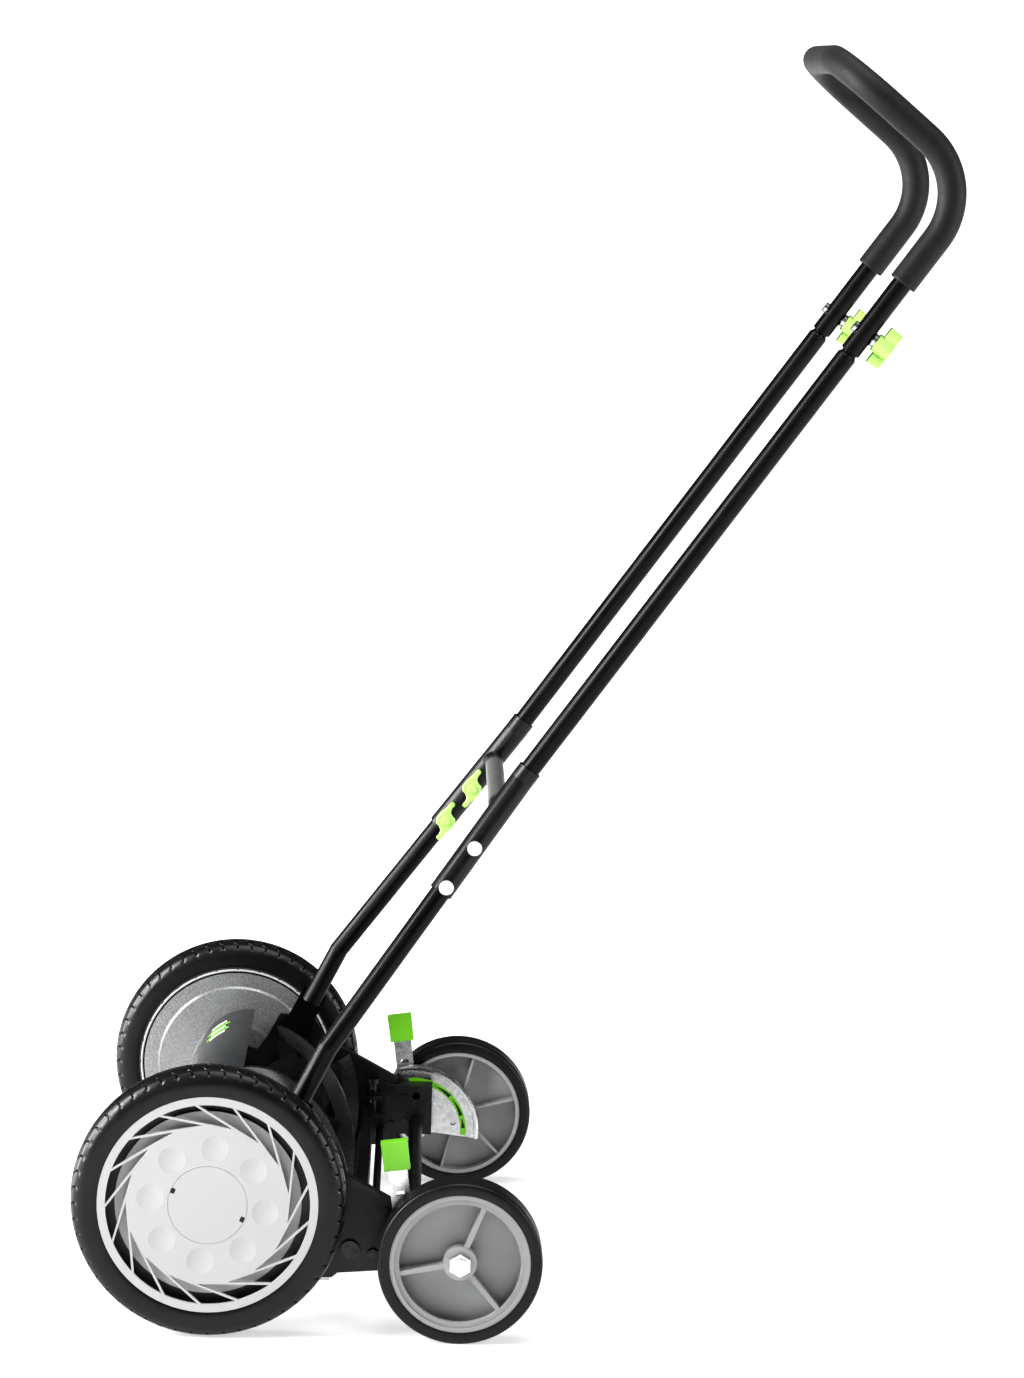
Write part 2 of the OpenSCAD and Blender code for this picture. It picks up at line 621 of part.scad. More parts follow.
module rear_axle_stud() color("silver") {
    bar(rear_axle, lever_in, rear_out + 2, hub_bore);
    difference() {
        hex(rear_axle, rear_out - 2, rear_out + 5, 19);
        bar(rear_axle, rear_out - 3, rear_out + 6, hub_bore - 0.01);
    }
    bar(rear_axle, rear_out + 2, rear_out + 6.5, 7);
}
hub_wall = 4;
rib_t = 4.4;
module rear_hub() color("#8e9092") {
    tube(rear_axle, rear_in + 1, rear_out - 1, rear_hub_r - hub_wall, rear_hub_r);
    tube(rear_axle, rear_out - 8, rear_out - 3, rear_hub_r - 9, rear_hub_r - 2);
    tube(rear_axle, rear_in + 14, rear_in + 17, 12, rear_hub_r - hub_wall + 0.1);
    tube(rear_axle, lever_out + 1, rear_out - 2.3, hub_bore + fit, 15.6);
    for (a = [68, -50, -169])
        slab(rear_in + 17, rear_out - 3.5) translate(rear_axle) rotate(a) translate([14, -rib_t / 2])
            square([rear_hub_r - 16, rib_t]);
    for (a = [15 : 60 : 315])
        slab(rear_in + 3, rear_in + 14) translate(rear_axle) rotate(a) translate([14, -1.2])
            square([rear_hub_r - 16, 2.4]);
}
module rear_tyre() color("#2a2a2a") turn(rear_axle) polygon([[rear_hub_r, rear_in], [rear_r - 2, rear_in],
    [rear_r, rear_in + 3], [rear_r, rear_out - 3], [rear_r - 2, rear_out], [rear_hub_r, rear_out]]);
module lever_left() left() lever();
module lever_right() lever();
module lever_cap_left() left() lever_cap();
module lever_cap_right() lever_cap();
module rear_axle_left() left() rear_axle_stud();
module rear_axle_right() rear_axle_stud();
module rear_hub_left() left() rear_hub();
module rear_hub_right() rear_hub();
module rear_tyre_left() left() rear_tyre();
module rear_tyre_right() rear_tyre();

// ---- Handle ----
inner_r = tube_r - tube_wall;
swell = 0.05;        // tubes swell this much where they are bent
lap = 1;             // straight stretches run this far into the bends
neck_r = inner_r - 0.1;
flat_t = 3.2;
flat_y1 = plate_in - gap;
foot_y = flat_y1 - tube_r;
kick_y = foot_y - 2;
function space(p, y) = [p.x, y, p.y];
// Half distance between the tubes at length s above the lower bend
function spread(s) = kick_y + (handle_half - kick_y) * s / (lower_l + sleeve_l);
function on_leg(s) = space(kick_point + s * dir(handle_slope), s < lower_l + sleeve_l ? spread(s) : handle_half);
foot = handle_pivot + 34 * dir(handle_slope + kick);
leg_end = lower_l + sleeve_l;
joint_s = leg_end + mid_l;
flat_w = 32;

module lower_shape(r) {
    rod(space(foot, foot_y), space(kick_point, kick_y), r);
    translate(space(kick_point, kick_y)) sphere(r = r + swell);
    rod(space(kick_point, kick_y), on_leg(insert_s), r);
}
module lower_tubes() color("#17181a") both() {
    difference() {
        lower_shape(tube_r);
        lower_shape(inner_r);
        splice_holes();
    }
    difference() {
        slab(flat_y1 - flat_t, flat_y1) {
            translate(handle_pivot) circle(r = flat_w / 2);
            strip(handle_pivot, foot + 10 * dir(handle_slope + kick), flat_w * 0.8);
        }
        bar(handle_pivot, flat_y1 - flat_t - 1, flat_y1 + 1, bolt_r + fit);
        rod(space(foot, foot_y), space(kick_point, kick_y), inner_r);
    }
}
splice_r = 3;
splice_s = [lower_l + 9, lower_l + 53];
insert_s = lower_l + 74;
module splice_holes() for (s = splice_s)
    bar([on_leg(s).x, on_leg(s).z], handle_half - 10, plate_out + 20, splice_r);

// Brace: a sleeve round each lower tube, a socket for each mid tube, and a cross tube between
seat_s = 2;          // bottom of the socket, above the sleeve's top
collar_l = 14;
cross_r = 9;
cross_s = leg_end - 36;
cross_bend = 22;     // bend radius where the cross tube turns down into the sleeves
cross_y = spread(cross_s - cross_bend) - cross_bend;
module handle_brace() color("#17181a") difference() {
    union() {
        both() {
            rod(on_leg(lower_l), on_leg(leg_end - 0.01), sleeve_r);
            translate(on_leg(leg_end)) sphere(r = sleeve_r + swell);
            along_leg(leg_end) cylinder(r = sleeve_r, h = collar_l);
        }
        translate(space(kick_point + cross_s * dir(handle_slope), 0)) rotate([0, -handle_slope, 0]) {
            translate([0, -cross_y - lap, 0]) rotate([-90, 0, 0]) cylinder(r = cross_r, h = 2 * (cross_y + lap));
            both() translate([-cross_bend, cross_y, 0]) rotate_extrude(angle = 90)
                translate([cross_bend, 0]) circle(r = cross_r + swell);
        }
    }
    both() {
        rod(on_leg(lower_l - 20), on_leg(insert_s + 1), tube_r);
        along_leg(leg_end) translate([0, 0, seat_s]) cylinder(r = tube_r, h = collar_l);
        splice_holes();
    }
}
knob_s = joint_s + 21.7;
neck_l = 45;
module knob_hole() rod(on_leg(knob_s) - 20 * space(dir(handle_slope - 90), 0),
    on_leg(knob_s) + 20 * space(dir(handle_slope - 90), 0), splice_r);
// Straight mid tube from the brace up, swaged to a neck that the upper handle slips over
module along_leg(s) translate(on_leg(s)) rotate([0, 90 - handle_slope, 0]) children();
module mid_tubes() color("#17181a") both() difference() {
    along_leg(leg_end) rotate_extrude() polygon([[inner_r, seat_s], [tube_r, seat_s], [tube_r, mid_l - 5],
        [neck_r - 0.6, mid_l - 2], [neck_r - 0.6, mid_l - 1], [neck_r, mid_l - 0.5], [neck_r, mid_l + neck_l],
        [neck_r - tube_wall, mid_l + neck_l], [neck_r - tube_wall, mid_l - 6], [inner_r, mid_l - 9]]);
    knob_hole();
}

turn_r = 62;         // corner radius between the top stretch and the crossbar
grip_s = 79;         // bare length of the upper handle below the foam
bend_cut = bend_r * tan(bend / 2);
// Round bar of radius r along the upper handle, from length s above its lower ends
module loop(r, s) {
    both() {
        rod(on_leg(joint_s + s), space(corner - (bend_cut - lap) * dir(handle_slope), handle_half), r);
        translate([0, handle_half, 0]) arc(bend_c, handle_slope - 90, top_slope - 90)
            translate([bend_r, 0]) circle(r = r + swell);
    }
    translate(space(corner, 0)) rotate([0, -top_slope, 0]) {
        both() {
            translate([bend_cut - lap, handle_half, 0]) rotate([0, 90, 0])
                cylinder(r = r, h = top_l - turn_r - bend_cut + 2 * lap);
            translate([top_l - turn_r, handle_half - turn_r, 0]) rotate_extrude(angle = 90)
                translate([turn_r, 0]) circle(r = r + swell);
        }
        translate([top_l, turn_r - handle_half - lap, 0]) rotate([-90, 0, 0])
            cylinder(r = r, h = 2 * (handle_half - turn_r + lap));
    }
}
module upper_handle() color("#17181a") difference() {
    loop(tube_r, 0);
    loop(inner_r, -1);
    both() knob_hole();
}
module foam_grip() color("#2b2c2e") difference() {
    loop(grip_r, grip_s);
    loop(tube_r, grip_s - 1);
}

nut_gap = 2.6;
function nut_y(s) = spread(s) - sleeve_r - nut_gap;
module splice_bolt(s) {
    p = [on_leg(s).x, on_leg(s).z];
    bar(p, nut_y(s) - 8, spread(s) + sleeve_r + nut_gap + 1, splice_r);
    bar(p, spread(s) + sleeve_r + nut_gap, spread(s) + sleeve_r + nut_gap + 3.5, 7);
}
module knob_frame() translate(on_leg(knob_s)) rotate([0, -handle_slope, 0]) children();
module handle_bolts() color("silver") both() {
    for (s = splice_s) splice_bolt(s);
    knob_frame() {
        translate([0, 0, -tube_r - 17]) cylinder(r = splice_r, h = tube_r * 2 + 18);
        translate([0, 0, tube_r]) cylinder(r = 5.5, h = 3);
        translate([0, 0, -tube_r - 3]) difference() {
            cylinder(r = 7, h = 3);
            translate([0, 0, -1]) cylinder(r = splice_r - 0.01, h = 5);
        }
    }
}
wing_l = 20;
module wing_nut(s) color("#a8e05f") difference() {
    union() {
        bar([on_leg(s).x, on_leg(s).z], nut_y(s) - 10, nut_y(s), 8);
        slab(nut_y(s) - 9, nut_y(s) - 4) translate([on_leg(s).x, on_leg(s).z]) rotate(handle_slope)
            for (a = [0, 180]) rotate(a) {
                translate([4, -1]) square([wing_l - 8, 8]);
                translate([wing_l - 4, 3]) circle(r = 4);
            }
    }
    bar([on_leg(s).x, on_leg(s).z], nut_y(s) - 8.5, nut_y(s) + 1, splice_r + fit);
}
module knob() color("#a8e05f") knob_frame() difference() {
    union() {
        translate([0, 0, -tube_r - 17]) cylinder(r = 9, h = 13.5);
        for (a = [0, 180]) rotate(a) translate([6, -6, -tube_r - 21]) cube([13.5, 11, 13]);
    }
    translate([0, 0, -tube_r - 17.5]) cylinder(r = splice_r + fit, h = 15);
}
module wing_nut_1() left() wing_nut(splice_s[0]);
module wing_nut_2() left() wing_nut(splice_s[1]);
module wing_nut_3() wing_nut(splice_s[0]);
module wing_nut_4() wing_nut(splice_s[1]);
module knob_left() left() knob();
module knob_right() knob();

side_plate_left();
side_plate_right();
front_guard();
tie_rods();
axle_stubs();
bearing_housings();
reel_bearings();
gear_cover_left();
gear_cover_right();
quadrant_left();
quadrant_right();
scale_bands();
rear_brackets();
frame_rivets();
frame_bolts();
wheel_clips();
bed_bar();
bed_knife();
knife_screws();
adjuster_left();
adjuster_right();
reel_shaft();
reel_spiders();
reel_blades();
drive_pawls();
shaft_clips();
pinion_left();
pinion_right();
rim_left();
tyre_left();
wheel_cover_left();
centre_cap_left();
ring_gear_left();
rim_right();
tyre_right();
wheel_cover_right();
centre_cap_right();
ring_gear_right();
lever_left();
lever_cap_left();
rear_axle_left();
rear_hub_left();
rear_tyre_left();
lever_right();
lever_cap_right();
rear_axle_right();
rear_hub_right();
rear_tyre_right();
lower_tubes();
handle_brace();
mid_tubes();
upper_handle();
foam_grip();
handle_bolts();
wing_nut_1();
wing_nut_2();
wing_nut_3();
wing_nut_4();
knob_left();
knob_right();
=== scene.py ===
"""Looks of the reel mower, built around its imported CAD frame."""
import json
import math

import bmesh
import bpy
from mathutils import Matrix, Vector


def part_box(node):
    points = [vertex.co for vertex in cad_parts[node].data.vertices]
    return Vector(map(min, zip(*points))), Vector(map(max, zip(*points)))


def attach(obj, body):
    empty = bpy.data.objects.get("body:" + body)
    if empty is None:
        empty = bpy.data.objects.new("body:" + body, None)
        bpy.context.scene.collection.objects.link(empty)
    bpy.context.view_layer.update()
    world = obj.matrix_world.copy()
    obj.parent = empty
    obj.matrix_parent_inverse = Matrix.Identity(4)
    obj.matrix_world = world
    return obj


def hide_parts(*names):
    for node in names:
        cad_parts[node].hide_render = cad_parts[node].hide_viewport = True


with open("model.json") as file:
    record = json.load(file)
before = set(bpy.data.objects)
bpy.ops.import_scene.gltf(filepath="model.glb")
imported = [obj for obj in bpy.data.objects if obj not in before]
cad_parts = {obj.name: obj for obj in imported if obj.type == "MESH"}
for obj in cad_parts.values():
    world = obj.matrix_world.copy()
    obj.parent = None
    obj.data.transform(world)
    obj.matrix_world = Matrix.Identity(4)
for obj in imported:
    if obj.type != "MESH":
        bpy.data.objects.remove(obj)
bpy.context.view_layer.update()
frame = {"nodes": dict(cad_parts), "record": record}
nodes = frame["nodes"]
joints = {j["name"]: j for j in frame["record"]["behaviour"]["joints"]}
MM = 0.001
SIDES = (("left", -1), ("right", 1))


def place(joint):
    return Vector(joints[joint]["pos_m"])


def direction(degrees):
    """A unit vector in the side view, turned from +X towards +Z."""
    a = math.radians(degrees)
    return Vector((math.cos(a), 0, math.sin(a)))


# ---- Materials ----
def tree(name):
    m = bpy.data.materials.new(name)
    m.use_nodes = True
    nt = m.node_tree
    return m, nt, nt.nodes["Principled BSDF"]


def link(nt, a, b):
    nt.links.new(a, b)


def node(nt, kind, **values):
    n = nt.nodes.new(kind)
    for k, v in values.items():
        if k in n.inputs:
            n.inputs[k].default_value = v
        else:
            setattr(n, k, v)
    return n


def coords(nt):
    return node(nt, "ShaderNodeTexCoord").outputs["Object"]


def noise(nt, scale, detail=4.0, rough=0.55, at=None):
    n = node(nt, "ShaderNodeTexNoise", Scale=scale, Detail=detail, Roughness=rough)
    link(nt, at or coords(nt), n.inputs["Vector"])
    return n.outputs["Fac"]


def cells(nt, scale, out="Distance", at=None):
    n = node(nt, "ShaderNodeTexVoronoi", Scale=scale)
    link(nt, at or coords(nt), n.inputs["Vector"])
    return n.outputs[out]


def spread(nt, fac, low, high, a=0.3, b=0.7):
    """fac between a and b mapped to low..high."""
    n = node(nt, "ShaderNodeMapRange")
    for k, v in (("From Min", a), ("From Max", b), ("To Min", low), ("To Max", high)):
        n.inputs[k].default_value = v
    link(nt, fac, n.inputs["Value"])
    return n.outputs["Result"]


def blend_colour(nt, fac, a, b):
    n = nt.nodes.new("ShaderNodeMix")
    n.data_type = "RGBA"
    for i, c in ((6, a), (7, b)):
        if isinstance(c, tuple):
            n.inputs[i].default_value = (*c, 1)
        else:
            link(nt, c, n.inputs[i])
    link(nt, fac, n.inputs[0])
    return n.outputs[2]


def bumps(nt, bsdf, *layers):
    """Each layer is (height, strength, distance in metres)."""
    normal = None
    for height, strength, distance in layers:
        b = node(nt, "ShaderNodeBump", Strength=strength, Distance=distance)
        link(nt, height, b.inputs["Height"])
        if normal:
            link(nt, normal, b.inputs["Normal"])
        normal = b.outputs["Normal"]
    link(nt, normal, bsdf.inputs["Normal"])


def tint(c, k):
    return tuple(min(1, x * k) for x in c)


def surface(name, colour, rough, metal=0.0, vary=0.15, grain=700, bump=0.15, depth=0.0002,
            coat=0.0, specular=0.5, dust=None):
    """A painted, moulded or plated surface: broad and fine variation, with a fine-grained bump."""
    m, nt, p = tree(name)
    wide = noise(nt, 9, 3)
    fine = noise(nt, grain, 3)
    c = blend_colour(nt, spread(nt, wide, 0, 1), tint(colour, 1 - vary), tint(colour, 1 + vary))
    if dust:
        smudge = spread(nt, noise(nt, 38, 6, 0.7), 0, dust[1], 0.5, 0.85)
        c = blend_colour(nt, smudge, c, dust[0])
    link(nt, c, p.inputs["Base Color"])
    mixed = node(nt, "ShaderNodeMath", operation="MULTIPLY")
    link(nt, spread(nt, noise(nt, 24, 5), rough * 0.82, rough * 1.2), mixed.inputs[0])
    link(nt, spread(nt, fine, 0.92, 1.08), mixed.inputs[1])
    link(nt, mixed.outputs[0], p.inputs["Roughness"])
    p.inputs["Metallic"].default_value = metal
    p.inputs["Specular IOR Level"].default_value = specular
    p.inputs["Coat Weight"].default_value = coat
    bumps(nt, p, (fine, bump, depth), (wide, bump * 0.3, depth * 4))
    return m


def plated(name, colour, rough, spangle=0.12, scale=160):
    """Zinc or steel: faint crystal patches under fine drawn lines."""
    m, nt, p = tree(name)
    patch = cells(nt, scale, "Color")
    tone = node(nt, "ShaderNodeSeparateColor")
    link(nt, patch, tone.inputs[0])
    c = blend_colour(nt, tone.outputs[0], tint(colour, 1 - spangle), tint(colour, 1 + spangle))
    link(nt, c, p.inputs["Base Color"])
    stretch = node(nt, "ShaderNodeMapping")
    stretch.inputs["Scale"].default_value = (1, 12, 1)
    link(nt, coords(nt), stretch.inputs["Vector"])
    lines = noise(nt, 260, 3, 0.6, stretch.outputs["Vector"])
    link(nt, spread(nt, lines, rough * 0.75, rough * 1.3), p.inputs["Roughness"])
    p.inputs["Metallic"].default_value = 1.0
    bumps(nt, p, (lines, 0.08, 0.0001), (noise(nt, 30, 4), 0.05, 0.0006))
    return m


def flake_paint(name, colour, rough):
    """Grey plastic with metallic flakes in it."""
    m, nt, p = tree(name)
    tone = node(nt, "ShaderNodeSeparateColor")
    link(nt, cells(nt, 1500, "Color"), tone.inputs[0])
    base = blend_colour(nt, spread(nt, noise(nt, 14, 4), 0, 1), tint(colour, 0.9), tint(colour, 1.1))
    c = blend_colour(nt, spread(nt, tone.outputs[0], 0, 0.55, 0.7, 1.0), base, tint(colour, 2.6))
    link(nt, c, p.inputs["Base Color"])
    link(nt, spread(nt, tone.outputs[1], rough * 0.8, rough * 1.25, 0, 1), p.inputs["Roughness"])
    p.inputs["Metallic"].default_value = 0.55
    p.inputs["Coat Weight"].default_value = 0.4
    p.inputs["Coat Roughness"].default_value = 0.22
    bumps(nt, p, (tone.outputs[2], 0.05, 0.00008), (noise(nt, 12, 4), 0.08, 0.0015))
    return m


def rubber(name, colour, rough, worn):
    """Moulded rubber: matt, with a pale bloom and fine mould texture."""
    m, nt, p = tree(name)
    bloom = spread(nt, noise(nt, 22, 7, 0.65), 0, 1, 0.35, 0.75)
    link(nt, blend_colour(nt, bloom, colour, worn), p.inputs["Base Color"])
    link(nt, spread(nt, noise(nt, 60, 5), rough * 0.85, rough * 1.15), p.inputs["Roughness"])
    p.inputs["Specular IOR Level"].default_value = 0.45
    p.inputs["Sheen Weight"].default_value = 0.03
    p.inputs["Sheen Roughness"].default_value = 0.4
    bumps(nt, p, (noise(nt, 1600, 3), 0.18, 0.0002), (noise(nt, 90, 4), 0.08, 0.0006))
    return m


def foam(name, colour):
    """Closed-cell foam: small open pores in a matt skin."""
    m, nt, p = tree(name)
    pore = cells(nt, 1100)
    skin = noise(nt, 130, 6, 0.7)
    link(nt, blend_colour(nt, spread(nt, skin, 0, 1), tint(colour, 0.75), tint(colour, 1.5)),
         p.inputs["Base Color"])
    link(nt, spread(nt, skin, 0.5, 0.66), p.inputs["Roughness"])
    p.inputs["Specular IOR Level"].default_value = 0.4
    p.inputs["Sheen Weight"].default_value = 0.06
    p.inputs["Sheen Roughness"].default_value = 0.5
    bumps(nt, p, (pore, 0.35, 0.0004), (noise(nt, 420, 4), 0.3, 0.0005), (skin, 0.15, 0.0012))
    return m


BLACK = (0.008, 0.0083, 0.0086)
LIME = (0.20, 0.56, 0.03)
PALE = (0.42, 0.68, 0.19)
GREY_DUST = (0.16, 0.16, 0.155)
look = {
    "black_frame": surface("black_frame", BLACK, 0.36, bump=0.22, depth=0.0003, dust=(GREY_DUST, 0.12)),
    "guard_paint": surface("guard_paint", (0.05, 0.052, 0.054), 0.33, metal=0.2, bump=0.12),
    "zinc": plated("zinc", (0.64, 0.645, 0.65), 0.27),
    "black_zinc": plated("black_zinc", (0.045, 0.045, 0.046), 0.3, 0.2, 220),
    "bearing_steel": plated("bearing_steel", (0.55, 0.55, 0.56), 0.14, 0.04),
    "gear_steel": plated("gear_steel", (0.26, 0.255, 0.25), 0.34, 0.1, 300),
    "cover_grey": flake_paint("cover_grey", (0.27, 0.272, 0.276), 0.3),
    "rim_plastic": surface("rim_plastic", (0.05, 0.052, 0.055), 0.42, bump=0.2),
    "cover_silver": surface("cover_silver", (0.45, 0.453, 0.456), 0.42, vary=0.02, bump=0.06),
    "tyre_rubber": rubber("tyre_rubber", (0.003, 0.003, 0.0031), 0.36, (0.008, 0.008, 0.008)),
    "hub_grey": surface("hub_grey", (0.33, 0.333, 0.337), 0.36, vary=0.07, bump=0.12),
    "rear_rubber": rubber("rear_rubber", (0.003, 0.003, 0.0031), 0.4, (0.008, 0.008, 0.008)),
    "lime_plastic": surface("lime_plastic", LIME, 0.34, vary=0.07, bump=0.1, coat=0.15),
    "pale_plastic": surface("pale_plastic", PALE, 0.36, vary=0.06, bump=0.1, coat=0.1),
    "lime_print": surface("lime_print", LIME, 0.3, vary=0.06, bump=0.05),
    "blade_paint": surface("blade_paint", (0.016, 0.0165, 0.017), 0.3, bump=0.15, dust=(GREY_DUST, 0.2)),
    "knife_steel": plated("knife_steel", (0.42, 0.42, 0.43), 0.28, 0.1, 90),
    "tube_paint": surface("tube_paint", (0.002, 0.002, 0.0021), 0.36, vary=0.1, bump=0.03, specular=0.25,
                          dust=(GREY_DUST, 0.02)),
    "foam": foam("foam", (0.004, 0.004, 0.0042)),
    "label_white": surface("label_white", (0.7, 0.72, 0.7), 0.4, vary=0.03, bump=0.04),
    "rim_lip": surface("rim_lip", (0.5, 0.5, 0.5), 0.3, bump=0.1),
}
# painted highlight: the brace's cross tube is painted lighter grey than its black sleeves, standing in for
# the light it catches from the left
look["brace_paint_and_highlight"] = surface("brace_paint_and_highlight", BLACK, 0.36, vary=0.1, bump=0.06, specular=0.4)
nt = look["brace_paint_and_highlight"].node_tree
brace = nt.nodes["Principled BSDF"]
where = node(nt, "ShaderNodeSeparateXYZ")
link(nt, coords(nt), where.inputs[0])
middle = node(nt, "ShaderNodeMath", operation="ABSOLUTE")
link(nt, where.outputs["Y"], middle.inputs[0])
paint = brace.inputs["Base Color"].links[0].from_socket
# painted highlight: grey where |Y| is under 0.1 m, fading to the black paint by 0.122 m
link(nt, blend_colour(nt, spread(nt, middle.outputs[0], 0, 1, 0.1, 0.122), (0.13, 0.13, 0.13), paint),
     brace.inputs["Base Color"])


def wear(obj, name):
    obj.data.materials.clear()
    obj.data.materials.append(look[name])


# ---- CAD nodes: materials, and rounded edges as modifiers ----
SOFT_EDGES = {
    "side_plate": 0.5, "front_guard": 0.6, "gear_cover": 0.7, "rear_brackets": 0.6, "quadrant": 0.4,
    "lever_left": 0.5, "lever_right": 0.5, "wheel_cover": 0.35, "centre_cap": 0.3, "rear_hub": 0.6,
    "bed_bar": 0.8, "rim_": 0.6, "frame_bolts": 0.35, "frame_rivets": 0.5, "rear_axle": 0.5,
    "handle_bolts": 1.1, "lower_tubes": 0.3, "adjuster": 0.4, "bearing_housings": 0.8,
}
for sub in frame["record"]["subparts"]:
    o = nodes[sub["node"]]
    o.data.materials.clear()
    o.data.materials.append(look[sub["material_slot"]])
    # the handle brace takes the black paint with the painted highlight on its cross tube
    if sub["node"] == "handle_brace":
        o.data.materials[0] = look["brace_paint_and_highlight"]
    for start, size in SOFT_EDGES.items():
        if sub["node"].startswith(start):
            b = o.modifiers.new("edges", "BEVEL")
            b.width = size * MM
            b.segments = 2
            b.limit_method = "ANGLE"
            b.angle_limit = math.radians(40)
            b.harden_normals = True


# ---- Mesh helpers ----
def new_mesh(name, verts, faces, body, slot, smooth=40):
    me = bpy.data.meshes.new(name)
    me.from_pydata(verts, [], faces)
    me.validate()
    bm = bmesh.new()
    bm.from_mesh(me)
    bmesh.ops.recalc_face_normals(bm, faces=bm.faces)
    bm.to_mesh(me)
    bm.free()
    o = bpy.data.objects.new(name, me)
    bpy.context.scene.collection.objects.link(o)
    return finish_piece(o, body, slot, smooth)


def finish_piece(o, body, slot, smooth=40):
    me = o.data
    for f in me.polygons:
        f.use_smooth = True
    me.set_sharp_from_angle(angle=math.radians(smooth))
    wear(o, slot)
    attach(o, body)
    return o


def grid_faces(nu, nv):
    """Faces of a grid of nu by nv points, closed both ways."""
    return [(i * nv + j, (i + 1) % nu * nv + j, (i + 1) % nu * nv + (j + 1) % nv, i * nv + (j + 1) % nv)
            for i in range(nu) for j in range(nv)]


def tyre_mesh(centre, rows, columns, height):
    """A tyre about the Y line through centre.

    rows are (radius, y, 1 on the tread); height gives how far a point turns, sinks and shifts along Y."""
    verts = []
    for i, a in enumerate(columns):
        for j, (r, y, t) in enumerate(rows):
            da, dr, dy = height(i, j, r, y, t)
            v = direction(math.degrees(a + da)) * ((r - dr) * MM)
            verts.append((centre.x + v.x, (y + dy) * MM, centre.z + v.z))
    return verts, grid_faces(len(columns), len(rows))


# ---- Prisms: an outline pushed out along w, with rounded edges ----
def prism(name, outline, w0, w1, origin, u, v, w, body, slot, edge, draft=0.0, smooth=35):
    rings = [(w0, 1.0), (w1, 1.0 - draft)]
    verts = [origin * MM + (u * a * k + v * b * k + w * h) * MM for h, k in rings for a, b in outline]
    n = len(outline)
    faces = [tuple(range(n)), tuple(range(2 * n - 1, n - 1, -1))]
    faces += [(i, (i + 1) % n, n + (i + 1) % n, n + i) for i in range(n)]
    o = new_mesh(name, verts, faces, body, slot, smooth)
    if edge:
        b = o.modifiers.new("edges", "BEVEL")
        b.width = edge * MM
        b.segments = 3
        b.limit_method = "ANGLE"
        b.angle_limit = math.radians(50)
        b.harden_normals = True
    return o


# ---- Drive tyres ----
PITCHES = 52
SLIT_DEPTH, GROOVE_DEPTH = 1.5, 2.0
STEPS = (0.0, 0.03, 0.12, 0.15, 0.42, 0.6, 0.8)
SECTION = [(101.5, 20.0), (103, 20.5), (106, 20.9), (109.5, 21.0), (113, 20.8), (116, 20.2), (118.6, 19.2),
           (120.6, 17.9), (122.2, 16.6)]
TREAD = [(123.6, 15.2), (124.6, 13.4), (125.5, 11.0), (126.0, 8.6), (126.2, 7.9), (126.25, 7.0), (126.3, 6.3),
         (126.7, 3.6), (127.0, 1.2), (127.0, 0.9), (127.0, 0.0)]


def drive_tyre(side):
    lo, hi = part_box("tyre_" + side)
    mid = (lo.y + hi.y) / 2 / MM
    centre = place("drive_wheel_%s_spin" % side)
    half = [(r, y, 0) for r, y in SECTION] + [(r, y, 1) for r, y in TREAD]
    rows = half + [(r, -y, t) for r, y, t in reversed(half[:-1])]
    rows += [(101.5, y, 0) for y in (-14, -7, 0, 7, 14)]
    columns = [2 * math.pi * (k + s) / PITCHES for k in range(PITCHES) for s in STEPS]
    pitch = 2 * math.pi / PITCHES

    def height(i, j, r, y, t):
        step = i % len(STEPS)
        low = step in (1, 2)
        away = abs(y)
        shift = pitch * (0.42 * (1 - abs(away - 7.4) / 7.4 if away < 14.8 else 0))
        if not t:
            # slits run a little way down the sidewall
            near = max(0.0, (r - 119.5) / 3.5)
            return 0, (SLIT_DEPTH * min(1, near) if low and near else 0), 0
        wave = 0.9 * math.sin(2 * math.pi * (i / len(STEPS))) * (1 if away < 9 else 0) * (1 if y > 0 else -1)
        ring = 6.9 < away < 8.0 or away < 0.95
        drop = GROOVE_DEPTH if low or (ring and away > 2) else 0
        return shift, drop, wave if away > 5 else 0

    verts, faces = tyre_mesh(centre, rows, columns, height)
    verts = [(x, y + mid * MM, z) for x, y, z in verts]
    o = new_mesh("drive_tyre_" + side, verts, faces, "drive_wheel_" + side, "tyre_rubber", 50)
    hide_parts("tyre_" + side)


for side, sign in SIDES:
    drive_tyre(side)

# ---- Rear tyres: plain, with fine grooves round the tread ----
def revolved(name, centre, profile, count, body, slot, smooth=40, notch=None):
    """profile is a closed loop of (radius, y); notch(k, r, y) gives how far a point moves inwards."""
    verts = []
    for k in range(count):
        v = direction(360 * k / count)
        for r, y in profile:
            q = r - (notch(k, r, y) if notch else 0)
            verts.append((centre.x + v.x * q * MM, y * MM, centre.z + v.z * q * MM))
    return new_mesh(name, verts, grid_faces(count, len(profile)), body, slot, smooth)


